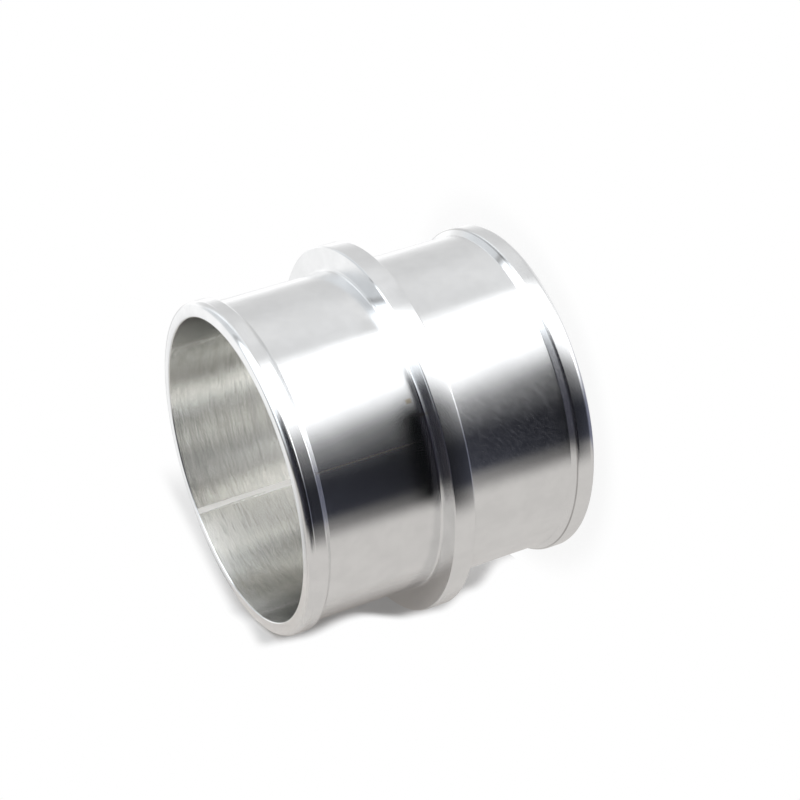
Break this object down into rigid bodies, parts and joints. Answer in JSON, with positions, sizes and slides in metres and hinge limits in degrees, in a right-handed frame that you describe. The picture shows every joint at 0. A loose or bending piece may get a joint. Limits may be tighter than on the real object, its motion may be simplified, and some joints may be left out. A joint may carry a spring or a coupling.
{
  "type": "hose mender",
  "caption": "Turned aluminium tube with a rounded hose bead at each end and a square collar round its middle, for joining two ends of large hose.",
  "frame": {"origin": "centre of the lower end face, on which the joiner stands", "axes": "+Z along the bore axis, up from the end it stands on to the other end; the joiner is round, so X and Y are arbitrary"},
  "size_m": [0.0876, 0.0876, 0.072],
  "materials": {
    "turned_aluminium": "fine lathe-turned, lightly scratched"
  },
  "bodies": {
    "root": {"hose_joiner": "turned_aluminium"}
  },
  "joints": []
}
